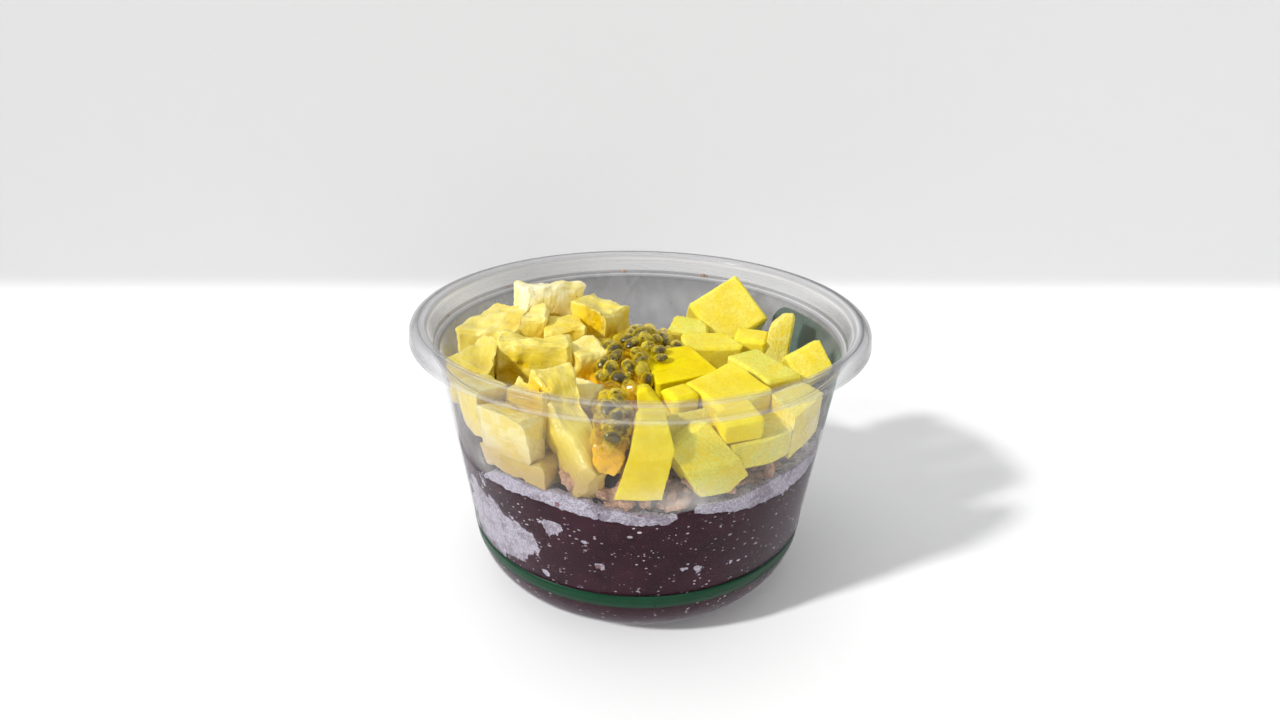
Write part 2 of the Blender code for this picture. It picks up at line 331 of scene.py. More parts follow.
tub = {
    "sheet": 0.6, "base": 30.7, "corner": 15.3, "cornerEnd": -7.2,
    "wallTop": (52.5, 65.4), "ledge": (53.6, 66.2), "lipRoll": 1.2,
    "lip": (56.1, 56.9), "groove": 0.22, "skirt": (58.35, 69.2), "steps": 192,
    # painted highlights along the sheet's edges, standing in for its glints: radius, height, reach, strength, and how
    # much only the tub's two sides show it
    "gleams": ((52.8, 66.6, 0.27, 1.0, 0), (52.4, 66.3, 0.2, 0.8, 0), (54.3, 71.2, 0.5, 0.45, 0),
               (54.9, 71.3, 0.3, 0.8, 0), (55.4, 72.7, 0.3, 0.7, 0.6), (58.1, 71.7, 0.4, 0.6, 0.5),
               (58.3, 69.4, 0.5, 0.75, 0)),
    # painted shade: dark lines beside them, and darker bands on the lip's and skirt's sides, in the same terms
    "shades": ((53.35, 67.35, 0.26, 1.0, 0), (51.85, 65.55, 0.24, 1.0, 0), (54.35, 71.95, 0.22, 0.7, 0),
               (55.0, 71.9, 0.25, 0.7, 0), (56.6, 73.0, 0.85, 0.9, 1), (57.6, 72.5, 0.3, 0.4, 0.5),
               (58.3, 70.6, 1.4, 0.8, 0.9), (53.9, 69.0, 1.8, 0.6, 1)),
}
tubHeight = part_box("tub")[1].z / mm


def arc(centre, radius, start, end, steps):
    angles = [radians(start + (end - start) * k / steps) for k in range(steps + 1)]
    return [(centre[0] + radius * cos(a), centre[1] + radius * sin(a)) for a in angles]


wallFoot = arc((tub["base"], tub["corner"]), tub["corner"], -90, tub["cornerEnd"], 1)[-1]
wallSlope = (tub["wallTop"][0] - wallFoot[0]) / (tub["wallTop"][1] - wallFoot[1])


def wallRadius(z, inset=0.0):
    if z > wallFoot[1]:
        return wallFoot[0] + wallSlope * (z - wallFoot[1]) - inset
    drop = tub["corner"] - max(z, inset)
    return tub["base"] + sqrt(max(0.0, (tub["corner"] - inset) ** 2 - drop * drop))


def revolve(profile, steps, closed=False):
    bm = bmesh.new()
    ring = [bm.verts.new((radius * mm, 0, z * mm)) for radius, z in profile]
    edges = [bm.edges.new(pair) for pair in zip(ring, ring[1:])]
    if closed:
        edges.append(bm.edges.new((ring[-1], ring[0])))
    bmesh.ops.spin(bm, geom=ring + edges, cent=(0, 0, 0), axis=(0, 0, 1), angle=2 * pi, steps=steps,
                   use_merge=True, use_duplicate=False)
    bmesh.ops.remove_doubles(bm, verts=bm.verts, dist=0.001 * mm)
    bmesh.ops.recalc_face_normals(bm, faces=bm.faces)
    return bm


def fogAt(angle, z):
    # breath of condensation above the blend, thickest at the front right and the left
    level = exp(-((z - 45.5) / 3.4) ** 2)
    right = 0.34 * exp(-((angle + 76) / 13) ** 2)
    left = 0.22 * exp(-((angle + 146) / 14) ** 2)
    upper = exp(-((z - 54) / 9) ** 2) * (0.5 * exp(-((angle + 156) / 22) ** 2) + 0.4 * exp(-((angle + 34) / 22) ** 2))
    return level * (right + left + 0.04) + upper


# strength of the painted highlight and painted shade lines on the sheet, weighed toward the tub's sides (the right
# side more) for lines that ask for it
def edgeLines(points, lines):
    radii, heights = np.hypot(points[:, 0], points[:, 1]) / mm, points[:, 2] / mm
    aside = points[:, 0] / mm / np.maximum(radii, 1.0)
    aside = aside ** 4 * np.where(aside > 0, 1.0, 0.6)
    total = np.zeros(len(points))
    for radius, height, reach, strength, sideways in lines:
        total += strength * (1 - sideways + sideways * aside) * np.exp(-((radii - radius) ** 2 + (heights - height) ** 2) / reach ** 2)
    return np.clip(total, 0, 1)


def clearSkin(name, inner):
    material, tree, shader = newMaterial(name, Roughness=0.16)
    spot = placeOf(tree)
    height = put(tree, "SeparateXYZ", {"Vector": spot}).outputs[2]
    onLip = remap(tree, height, 66.7 * mm, 67.6 * mm)
    smudge = use(tree, mottle, Vector=scaled(tree, spot, (1.0, 1.0, 0.7)), Scale=62.0, Contrast=1.5)
    flow = use(tree, streaks, Vector=spot, Across=210.0, Along=11.0)
    gleam = painted(tree, "gleam")
    shade = painted(tree, "shade")
    facing = put(tree, "LayerWeight", {"Blend": 0.5}).outputs["Facing"]
    if not inner:  # a clear surface as thin film: it lets most through, and greys where it is seen edge on
        shader.inputs["IOR"].default_value = 1.4
        seen = calc(tree, "MULTIPLY_ADD", calc(tree, "POWER", facing, 4.2), 0.55, 0.008)
        seen = calc(tree, "MULTIPLY_ADD", calc(tree, "MULTIPLY", onLip, flow), 0.05, seen)
        # painted highlight: more cover and a near-white colour where the gleam attribute is
        seen = calc(tree, "MULTIPLY_ADD", gleam, 0.26, seen)
        tone = mixColour(tree, gleam, (0.36, 0.355, 0.4), (0.9, 0.9, 0.92))
    else:  # the side that carries the haze, frosting and fog
        shader.inputs["IOR"].default_value = 1.25
        edgeOn = calc(tree, "POWER", facing, 1.6)
        hazeWall = calc(tree, "MULTIPLY_ADD", edgeOn, 0.2, calc(tree, "MULTIPLY_ADD", smudge, 0.1, 0.7))
        nearSide = remap(tree, put(tree, "SeparateXYZ", {"Vector": spot}).outputs[1], -30 * mm, -50 * mm)
        hazeLip = calc(tree, "MULTIPLY_ADD", edgeOn, 0.45, calc(tree, "MULTIPLY_ADD", flow, 0.12, 0.36))
        hazeLip = calc(tree, "MULTIPLY", hazeLip, calc(tree, "MULTIPLY_ADD", nearSide, -0.75, 1.0))
        hazeInside = put(tree, "Mix", {0: onLip, 2: hazeWall, 3: hazeLip}).outputs[0]
        # painted highlight: the gleam lines get near-full cover on the inner side
        hazeInside = calc(tree, "MAXIMUM", hazeInside, calc(tree, "MULTIPLY", gleam, 0.92))
        fog = calc(tree, "MULTIPLY", painted(tree, "fog"), calc(tree, "MULTIPLY_ADD", smudge, 0.9, 0.35))
        film = remap(tree, height, 37 * mm, 46 * mm, 0.004, 0.035)
        film = calc(tree, "MULTIPLY", film, calc(tree, "MULTIPLY_ADD", flow, 0.7, 0.65))
        hazeThrough = calc(tree, "MULTIPLY_ADD", gleam, 0.2, calc(tree, "ADD", film, fog), clamp=True)
        reverse = put(tree, "NewGeometry").outputs["Backfacing"]
        seen = put(tree, "Mix", {0: reverse, 2: hazeInside, 3: hazeThrough}).outputs[0]
        # painted shade: the inner haze is a dark grey that stands in for the shade inside the tub; smudges make it
        # lighter in places
        frosted = mixColour(tree, remap(tree, smudge, 0.6, 1.0), (0.08, 0.08, 0.09), (0.17, 0.17, 0.19))
        frosted = mixColour(tree, edgeOn, frosted, (0.19, 0.175, 0.15))
        lipTone = mixColour(tree, flow, (0.32, 0.32, 0.345), (0.45, 0.45, 0.48))
        lipTone = mixColour(tree, edgeOn, lipTone, (0.13, 0.12, 0.115))
        tone = mixColour(tree, onLip, frosted, lipTone)
        # painted highlight: near-white colour along the gleam lines
        tone = mixColour(tree, gleam, tone, (0.85, 0.85, 0.88))
        tone = mixColour(tree, reverse, tone, (0.96, 0.93, 0.9))
    # painted shade: a near-black colour and more cover where the shade attribute is
    tree.links.new(mixColour(tree, shade, tone, (0.09, 0.09, 0.1)), shader.inputs["Base Color"])
    seen = calc(tree, "MULTIPLY_ADD", shade, 0.16, seen)
    looking = put(tree, "LightPath").outputs["Is Camera Ray"]
    stopped = put(tree, "Mix", {0: onLip, 2: 0.16, 3: 0.09}).outputs[0]
    cover = put(tree, "Mix", {0: looking, 2: stopped, 3: seen}, clamp_factor=True).outputs[0]
    tree.links.new(calc(tree, "MINIMUM", cover, 1.0), shader.inputs["Alpha"])
    return material


def closer(profile, step):
    # the same profile with more points, none further apart than the step
    points = [profile[0]]
    for start, end in zip(profile, profile[1:]):
        count = max(1, round(hypot(end[0] - start[0], end[1] - start[1]) / step))
        points += [(start[0] + (end[0] - start[0]) * k / count, start[1] + (end[1] - start[1]) * k / count)
                   for k in range(1, count + 1)]
    return points


def buildTub():
    low = tubHeight - tub["sheet"] - tub["lipRoll"]
    innerLip, outerLip = tub["lip"]
    profile = [tub["skirt"], (tub["skirt"][0] - 0.12, tub["skirt"][1] + 0.9)]
    profile += arc((outerLip, low), tub["lipRoll"], 0, 90, 6)
    profile += [((innerLip + outerLip) / 2, low + tub["lipRoll"] - tub["groove"])]
    profile += arc((innerLip, low), tub["lipRoll"], 90, 180, 6)
    profile += [(tub["ledge"][0] + 0.25, tub["ledge"][1] + 0.5), tub["ledge"]]
    profile += [((tub["ledge"][0] + tub["wallTop"][0]) / 2, tub["wallTop"][1] + 0.3), tub["wallTop"]]
    profile = closer(profile, 0.28)
    rings = 24
    profile += [(wallRadius(z), z) for z in np.linspace(tub["wallTop"][1] - 0.6, wallFoot[1], rings)]
    profile += arc((tub["base"], tub["corner"]), tub["corner"], tub["cornerEnd"], -90, 12)[1:]
    profile += [(0.0, 0.0)]
    bm = revolve(profile, tub["steps"])
    lowest = min(bm.faces, key=lambda face: face.calc_center_median().z)
    if lowest.normal.z > 0:
        bmesh.ops.reverse_faces(bm, faces=bm.faces)
    mesh = bpy.data.meshes.new("tubSheet")
    bm.to_mesh(mesh)
    bm.free()
    holder = bpy.data.objects.new("tubSheet", mesh)
    bpy.context.scene.collection.objects.link(holder)
    wall = holder.modifiers.new("sheet", "SOLIDIFY")
    wall.thickness = tub["sheet"] * mm
    wall.offset = -1
    wall.use_even_offset = True
    wall.material_offset = 1
    wall.material_offset_rim = 1
    mesh.materials.append(clearSkin("clearPlasticOutside", False))
    mesh.materials.append(clearSkin("clearPlasticInside", True))
    shell = bpy.data.meshes.new_from_object(holder.evaluated_get(bpy.context.evaluated_depsgraph_get()))
    bpy.data.objects.remove(holder)
    fog = [fogAt(degrees(atan2(y, x)), z / mm) for x, y, z in pointsOf(shell)]
    paint(shell, "fog", fog)
    # painted highlight lines on the sheet
    paint(shell, "gleam", edgeLines(pointsOf(shell), tub["gleams"]))
    # painted shade lines and darker lip sides on the sheet
    paint(shell, "shade", edgeLines(pointsOf(shell), tub["shades"]))
    addPiece("tubShell", shell, None, ["tub"])
    print("tub")


# ---- the print on the tub: one stripe round the foot, and a plain panel

printed = {
    "stripe": (13.4, 17.2), "proud": 0.07, "thickness": 0.05,
    "panelAngle": 12, "panelSize": (47.0, 22.0), "panelHeight": 53.0, "panelCorner": 6.0,
}


def inkMaterial(name, colour, cover):
    material, tree, shader = newMaterial(name, Roughness=0.35)
    shader.inputs["Specular IOR Level"].default_value = 0.15
    spot = placeOf(tree)
    blotch = use(tree, mottle, Vector=spot, Scale=260.0, Contrast=1.2)
    darker = tuple(0.72 * part for part in colour)
    tree.links.new(mixColour(tree, blotch, darker, colour), shader.inputs["Base Color"])
    pinholes = use(tree, specks, Vector=spot, Scale=900.0, Size=0.35, Share=0.2)
    tree.links.new(calc(tree, "MULTIPLY_ADD", pinholes, -0.5 * cover, cover), shader.inputs["Alpha"])
    return material


def buildPrint():
    low, high = printed["stripe"]
    proud, thick = printed["proud"], printed["thickness"]
    levels = np.linspace(low, high, 4)
    profile = [(wallRadius(z) + proud, z) for z in levels]
    profile += [(wallRadius(z) + proud - thick, z) for z in levels[::-1]]
    bm = revolve(profile, tub["steps"], closed=True)
    addPiece("printedStripe", bm, inkMaterial("stripeInk", (0.003, 0.048, 0.019), 0.96))

    width, tall = printed["panelSize"]
    bm = bmesh.new()
    bmesh.ops.create_grid(bm, x_segments=1, y_segments=1, size=0.5)
    bmesh.ops.scale(bm, vec=(width, tall, 1), verts=bm.verts)
    bmesh.ops.bevel(bm, geom=bm.verts[:], offset=printed["panelCorner"], segments=8, affect="VERTICES",
                    profile=0.5, material=-1)
    for cut in range(1, 40):
        bmesh.ops.bisect_plane(bm, geom=bm.verts[:] + bm.edges[:] + bm.faces[:],
                               plane_co=(width * (cut / 40 - 0.5), 0, 0), plane_no=(1, 0, 0))
    for vert in bm.verts:
        z = printed["panelHeight"] + vert.co.y
        angle = radians(printed["panelAngle"]) + vert.co.x / wallRadius(printed["panelHeight"])
        reach = wallRadius(z) + proud - thick
        vert.co = Vector((reach * cos(angle), reach * sin(angle), z)) * mm
    bmesh.ops.solidify(bm, geom=bm.faces[:], thickness=-thick * mm)
    bmesh.ops.recalc_face_normals(bm, faces=bm.faces)
    addPiece("printedPanel", bm, inkMaterial("panelInk", (0.06, 0.52, 0.3), 0.6))
    print("print")


# ---- the berry blend, which fills the tub's foot

berry = {
    "inset": 0.3,       # its side lies inside the tub's sheet, so that no gap shows
    "level": 42.6,
    "levelRadius": 34.0,
    "steps": 300,
    "recess": 0.22,
    # angle round the tub in degrees, height of the dark edge there, and height of the frosted edge above it
    "edge": ((-180, 41.0, 41.4), (-155, 40.4, 40.8), (-141, 40.4, 41.0), (-132, 41.1, 44.3), (-127, 41.2, 45.2),
             (-119, 41.5, 44.6), (-113, 41.3, 45.0), (-104, 40.2, 44.4), (-98, 39.5, 42.7), (-89, 38.7, 41.5),
             (-82, 39.0, 41.0), (-77, 41.7, 42.0), (-72, 40.8, 43.1), (-63, 39.6, 43.1), (-55, 39.0, 44.7),
             (-48, 39.1, 45.2), (-33, 39.2, 44.2), (-25, 40.0, 42.0), (0, 41.5, 42.4), (28, 43.0, 43.6),
             (55, 41.0, 43.4), (85, 42.6, 43.4), (110, 41.2, 43.0), (140, 43.4, 44.0), (180, 41.0, 41.4)),
    # frosted pockets between the blend and the wall: angle, height, half width in degrees, half height
    "pockets": ((-149, 26, 6.0, 9.0), (-141, 25, 5.5, 8.0), (-134, 27, 4.6, 4.6), (-128, 26.6, 4.2, 4.3),
                (-123, 27.4, 4.0, 3.2), (-137, 22, 3.6, 3.0), (-130, 24, 3.2, 2.4), (-146, 19.5, 3.6, 2.8),
                (-114.8, 34.2, 1.9, 2.3), (-112.2, 35.2, 1.7, 0.9), (-127.2, 20.4, 0.9, 1.1),
                (-118, 19.3, 1.0, 1.0), (-100.5, 25.8, 1.2, 0.75), (-72.3, 24.1, 1.0, 0.85),
                (-76.4, 24.9, 0.9, 0.5), (-61.6, 23.7, 0.6, 0.6), (-55.6, 33.5, 0.4, 0.5), (-76.6, 33.4, 0.5, 0.4),
                (-104.3, 32.3, 0.5, 0.3), (-105.6, 35.8, 0.5, 0.3), (-102.8, 35.9, 0.6, 0.3),
                (24, 31, 5.0, 3.6), (31, 28, 3.6, 2.6), (96, 24, 6.0, 3.0), (104, 27, 4.0, 3.4), (70, 35, 1.6, 1.4),
                (160, 33, 3.0, 4.0), (165, 28, 2.4, 2.2), (140, 21, 1.4, 1.0), (-8, 22, 1.3, 0.9)),
}


def edgeHeights(angle):
    for (before, dark, frosted), (after, nextDark, nextFrosted) in zip(berry["edge"], berry["edge"][1:]):
        if before <= angle <= after:
            share = eased((angle - before) / (after - before))
            return dark + share * (nextDark - dark), frosted + share * (nextFrosted - frosted)


def pocketAt(angle, z):
    total = 0.0
    for middle, height, halfWidth, halfHeight in berry["pockets"]:
        across = ((angle - middle + 180) % 360 - 180) / halfWidth
        up = (z - height) / halfHeight
        if abs(across) < 3 and abs(up) < 3:
            total += exp(-0.7 * (across * across + up * up))
    return total


def blendMaterial():
    material, tree, shader = newMaterial("frozenBerry", Roughness=0.42)
    shader.inputs["Specular IOR Level"].default_value = 0.15
    spot = placeOf(tree)
    tone = use(tree, mottle, Vector=spot, Scale=90.0, Contrast=1.5)
    pulpTone = mixColour(tree, tone, (0.0185, 0.0034, 0.008), (0.039, 0.0088, 0.0175))
    flecks = use(tree, specks, Vector=spot, Scale=900.0, Size=0.42, Share=0.35)
    pulpTone = mixColour(tree, calc(tree, "MULTIPLY", flecks, 0.6), pulpTone, (0.1, 0.04, 0.042))
    stretched = scaled(tree, spot, (1.0, 1.0, 1.7))
    dust = use(tree, specks, Vector=stretched, Scale=700.0, Size=0.3, Share=0.75)
    small = use(tree, specks, Vector=stretched, Scale=330.0, Size=0.25, Share=0.55)
    drifts = remap(tree, use(tree, mottle, Vector=spot, Scale=45.0, Contrast=1.6), 0.35, 0.75)
    ice = calc(tree, "MULTIPLY", calc(tree, "MAXIMUM", calc(tree, "MULTIPLY", dust, 0.9), small),
               calc(tree, "MULTIPLY", painted(tree, "side"), calc(tree, "MULTIPLY_ADD", drifts, 0.55, 0.45)))
    pulpTone = mixColour(tree, ice, pulpTone, (0.55, 0.5, 0.53))
    ragged = put(tree, "TexNoise", {"Vector": spot, "Scale": 330.0, "Detail": 5.0, "Roughness": 0.62}).outputs[0]
    field = calc(tree, "MULTIPLY_ADD", calc(tree, "SUBTRACT", ragged, 0.5), 2.4, painted(tree, "pocket"))
    frost = remap(tree, field, 0.47, 0.55)
    grain = put(tree, "TexNoise", {"Vector": spot, "Scale": 2200.0, "Detail": 2.0}).outputs[0]
    crystals = remap(tree, grain, 0.33, 0.68)
    frostTone = mixColour(tree, crystals, (0.3, 0.27, 0.33), (0.54, 0.51, 0.58))
    thin = remap(tree, use(tree, mottle, Vector=spot, Scale=190.0, Contrast=1.6), 0.1, 0.55, 0.45, 0.0)
    frostTone = mixColour(tree, thin, frostTone, (0.1, 0.065, 0.085))
    berries = use(tree, specks, Vector=spot, Scale=330.0, Size=0.36, Share=0.32)
    frostTone = mixColour(tree, calc(tree, "MULTIPLY", berries, 0.85), frostTone, (0.2, 0.085, 0.09))
    tree.links.new(mixColour(tree, frost, pulpTone, frostTone), shader.inputs["Base Color"])
    lumps = put(tree, "TexNoise", {"Vector": spot, "Scale": 600.0, "Detail": 4.0}).outputs[0]
    bump(tree, shader, calc(tree, "ADD", lumps, calc(tree, "MULTIPLY", frost, crystals)), 0.12 * mm, 0.6)
    return material


def buildBlend():
    inset = berry["inset"]
    footZ = wallFoot[1]
    sideZ = list(np.linspace(berry["level"], footZ, 58))
    top = [(radius, berry["level"]) for radius in np.linspace(0.0, wallRadius(berry["level"], inset), 40)]
    profile = top[:-1] + [(wallRadius(z, inset), z) for z in sideZ]
    corner = arc((tub["base"], tub["corner"]), tub["corner"] - inset, tub["cornerEnd"], -90, 16)
    profile += corner[1:] + [(0.0, inset)]
    bm = revolve(profile, berry["steps"])
    pockets, sides = [], []
    span = berry["level"] - footZ
    for vert in bm.verts:
        x, y, z = (part / mm for part in vert.co)
        angle = degrees(atan2(y, x))
        dark, frosted = edgeHeights(angle)
        radius = hypot(x, y)
        edgeRadius = wallRadius(berry["level"], inset)
        if radius < edgeRadius - 0.01 and z > berry["level"] - 0.01:  # the top
            share = eased((radius - berry["levelRadius"]) / (edgeRadius - berry["levelRadius"]))
            z = berry["level"] + share * (frosted - berry["level"])
            z += 0.5 * (1 - share) * noise.noise(Vector((x, y, 0)) * 0.16)
            z += 0.25 * noise.noise(Vector((x, y, 3)) * 0.7) * (1 - share ** 8)
            stretch = 1 + share * (wallRadius(frosted, inset) / edgeRadius - 1)
            vert.co = Vector((x * stretch, y * stretch, z)) * mm
            pockets.append(0.75 * eased((share - 0.86) / 0.1) * eased((frosted - dark - 0.8) / 1.0))
            sides.append(0.0)
            continue
        if z > footZ:  # the side, stretched to the uneven edge
            z = footZ + (z - footZ) * (frosted - footZ) / span
        pocket = pocketAt(angle, z)
        band = eased((z - dark + 0.5) / 1.0) * eased((frosted - dark - 0.6) / 1.0)
        pocket = max(pocket, band)
        recess = berry["recess"] * eased((pocket - 0.4) / 0.3) if radius > 30 else 0.0
        reach = max(wallRadius(z, inset) - recess, 0.0) if z > 1.0 else radius
        turn = Vector((x, y, 0)).normalized() * reach if radius > 0.01 else Vector((0, 0, 0))
        vert.co = Vector((turn.x, turn.y, z)) * mm
        pockets.append(pocket)
        sides.append(1.0)
    mesh = bpy.data.meshes.new("berryBlend")
    bm.to_mesh(mesh)
    bm.free()
    paint(mesh, "pocket", pockets)
    paint(mesh, "side", sides)
    addPiece("berryBlend", mesh, blendMaterial(), ["berry_blend"])
    print("berry blend")


# ---- the cut fruit

mango = {
    "voxel": 0.31, "ease": 1, "wave": 0.3, "waveScale": 110.0, "grain": 0.05, "worn": 0.0,
    "fuller": 0.3, "bend": 0.6,
    "limeTops": {"mango_back": 0.7, "mango_flat": 0.9, "mango_slope": 1.0, "mango_shelf": 0.8, "mango_low": 1.0,
                 "mango_block": 0.35, "mango_wall": 0.3, "mango_bar": 0.25},
    "limeSides": {"mango_low": 0.9, "mango_slope": 0.7, "mango_shelf": 0.7},
    # 0 is pale and velvety, 1 is wet and deep yellow
    "ripe": {"mango_bright": 1.0, "mango_bit": 0.9, "mango_tip": 0.9, "mango_wedge": 0.7, "mango_bar": 0.6,
             "mango_side": 0.4, "mango_front": 0.75, "mango_square": 0.45, "mango_peak": 0.0, "mango_wall": 0.0,
             "mango_low": 0.2, "mango_flat": 0.3, "mango_sliver": 0.8, "mango_block": 0.8},
}
pineapple = {
    "voxel": 0.36, "ease": 1, "wave": 0.9, "waveScale": 150.0, "ridge": 0.08, "ragged": 0.5, "worn": 0.0,
    "fuller": 0.95, "bend": 2.3,
    # soft translucent hollows, their golden colour partly juicy flesh and partly painted shade: place, reach, depth
    # and how golden
    "hollows": ((-33.0, -10.5, 57.6, 4.4, 1.7, 1.0), (-29.6, -10.2, 60.3, 2.2, 1.1, 0.9),
                (-13.0, 9.6, 64.6, 5.2, 1.3, 1.0), (-16.5, 11.5, 62.0, 4.0, 0.7, 1.0), (-34.2, 7.4, 63.2, 4.2, 0.7, 0.9),
                (-24.4, 17.0, 62.8, 5.2, 0.9, 0.9), (-27.0, 6.2, 63.0, 3.6, 0.5, 0.7),
                (-39.2, -16.0, 62.0, 4.6, 0.7, 0.8), (-14.0, -25.4, 60.0, 3.2, 0.4, 0.7),
                (-14.3, -9.2, 58.2, 4.0, 0.5, 0.9), (-18.6, 4.8, 63.0, 3.6, 0.6, 0.9),
                (-24.0, -33.5, 62.5, 6.0, 0.8, 0.9), (-6.5, 9.0, 62.0, 3.4, 0.7, 0.5),
                (-16.0, -30.0, 64.0, 2.6, 0.5, 0.5), (-30.0, -43.0, 52.5, 3.6, 0.5, 0.5)),
    "paler": {"pineapple_top": 1.0, "pineapple_left": 0.15, "pineapple_small": 0.2, "pineapple_round": 0.6,
              "pineapple_flake": 0.5, "pineapple_inner": 0.2},
    # brown eyes left by the peel
    "eyes": ((-18.4, 20.0, 68.6, 0.7), (-11.6, 10.6, 68.0, 0.6), (-30.3, -10.2, 60.8, 1.1), (-35.4, -10.0, 60.6, 0.8),
             (-34.4, -10.2, 59.6, 0.6), (-9.5, 14.5, 68.0, 0.6), (-24.0, -41.0, 60.4, 0.6)),
}


def blockAxes(bm):
    # the block's own axes: its largest face's normal, and the largest that is square to it
    areas = {}
    for face in bm.faces:
        key = tuple(round(part, 1) for part in face.normal)
        area, total = areas.get(key, (0.0, Vector((0, 0, 0))))
        areas[key] = (area + face.calc_area(), total + face.normal * face.calc_area())
    ranked = sorted(areas.values(), key=lambda entry: -entry[0])
    first = ranked[0][1].normalized()
    second = next((entry[1].normalized() for entry in ranked if abs(entry[1].normalized().dot(first)) < 0.4),
                  first.orthogonal())
    third = first.cross(second).normalized()
    return np.array([first, third.cross(first), third])


def edgeDistance(bm, points):
    sharp = [edge for edge in bm.edges if len(edge.link_faces) == 2 and edge.calc_face_angle() > radians(28)]
    nearest = np.full(len(points), 1.0)
    for edge in sharp:
        start, end = (np.array(vert.co) for vert in edge.verts)
        line = end - start
        along = np.clip((points - start) @ line / max(line @ line, 1e-12), 0, 1)
        nearest = np.minimum(nearest, np.linalg.norm(points - start - along[:, None] * line, axis=1))
    return nearest


def knifeCuts(bm):
    # the planes of a block's broad faces, without the eased strips between them
    groups = {}
    for face in bm.faces:
        key = tuple(round(part, 2) for part in face.normal) + (round(face.normal.dot(face.verts[0].co), 4),)
        groups.setdefault(key, []).append(face)
    cuts = []
    for faces in groups.values():
        normal = sum((face.normal for face in faces), Vector()).normalized()
        corners = [vert.co for face in faces for vert in face.verts]
        sides = [edge.verts[1].co - edge.verts[0].co for face in faces for edge in face.edges]
        along = max(sides, key=lambda side: side.length).normalized()
        across = normal.cross(along)
        reach = [point.dot(across) for point in corners]
        if max(reach) - min(reach) > 1.25 * mm:
            cuts.append((corners[0].copy(), normal))
    return cuts


def crispBlock(bm, fuller):
    middle = sum((vert.co for vert in bm.verts), Vector()) / len(bm.verts)
    block = bmesh.new()
    bmesh.ops.create_cube(block, size=60 * mm, matrix=Matrix.Translation(middle))
    for point, normal in knifeCuts(bm):
        cut = bmesh.ops.bisect_plane(block, geom=block.verts[:] + block.edges[:] + block.faces[:], dist=1e-6,
                                     plane_co=point + normal * fuller * mm, plane_no=normal, clear_outer=True)
        rim = [part for part in cut["geom_cut"] if isinstance(part, bmesh.types.BMEdge)]
        if len(rim) > 2:
            bmesh.ops.contextual_create(block, geom=rim)
    bmesh.ops.recalc_face_normals(block, faces=block.faces)
    block.normal_update()
    return block


def nearness(points, places):
    # how near each point is to any of the places, 0 to 1, and the strongest of their other values
    near = np.zeros(len(points))
    values = np.zeros((len(points), len(places[0]) - 4))
    for x, y, z, reach, *rest in places:
        distance = np.linalg.norm(points / mm - (x, y, z), axis=1) / reach
        share = np.exp(-distance ** 2 * 1.6)
        near = np.maximum(near, share)
        for column, value in enumerate(rest):
            values[:, column] = np.maximum(values[:, column], share * value)
    return near, values


def carve(node, kind, seed):
    solid = mergedCopy(node)
    bm = crispBlock(solid, kind["fuller"])
    solid.free()
    axes = blockAxes(bm)
    mesh = remeshed(bm.copy(), kind["voxel"] * mm, kind["ease"])
    points, outward = pointsOf(mesh), pointsOf(mesh, "normal")
    toEdge = edgeDistance(bm, points) / mm
    bm.free()
    local = points @ axes.T
    waves = roughness(points, kind["waveScale"], 2, seed)
    move = kind["wave"] * (waves - 0.4) - kind["worn"] * np.exp(-toEdge / 0.6)
    if kind is pineapple:
        move += kind["ridge"] * roughness(local * (1.0, 1.0, 0.2), 700.0, 2, seed)
        torn = np.maximum(0.0, roughness(points, 420.0, 2, seed + 5) + 0.25)
        move -= kind["ragged"] * torn * np.exp(-toEdge / 1.1)
        depth, golden = nearness(points, kind["hollows"])[1].T
        move -= depth * (1 + 0.35 * roughness(points, 600.0, 2, seed))
        paint(mesh, "golden", golden)
        paint(mesh, "paler", np.full(len(points), kind["paler"].get(node, 0.0)))
        paint(mesh, "eye", nearness(points, kind["eyes"])[0])
    else:
        move += kind["grain"] * roughness(points, 1600.0, 1, seed)
        lime = kind["limeTops"].get(node, 0.0)
        cover = np.clip((outward[:, 2] - 0.3) / 0.5, kind["limeSides"].get(node, 0.0), 1)
        paint(mesh, "lime", lime * cover * np.clip(0.75 + 0.6 * waves, 0, 1))
        paint(mesh, "ripe", np.full(len(points), kind["ripe"].get(node, 0.35)))
    points = points + outward * (move * mm)[:, None]
    bends = [[noise.noise(Vector(p) * 60.0 + Vector((axis * 9.0, 0, 0))) for axis in range(3)] for p in points]
    points = points + np.array(bends) * kind["bend"] * mm
    reach = np.hypot(points[:, 0], points[:, 1])
    limit = np.array([wallRadius(z / mm, tub["sheet"] + 0.12) * mm for z in points[:, 2]])
    points[:, :2] *= np.minimum(1.0, limit / np.maximum(reach, 1e-6))[:, None]
    points[:, 2] = np.minimum(points[:, 2], tubHeight * mm)
    movePoints(mesh, points)
    # mask near the cut edges, which the flesh materials paint lighter as a highlight
    paint(mesh, "rim", np.exp(-toEdge / 1.1))
    paint(mesh, "grain", local)
    # mask for painted shade: a chunk's sides and undersides
    paint(mesh, "side", np.clip(0.5 - 0.7 * outward[:, 2] + 0.35 * waves, 0, 1))
    return mesh


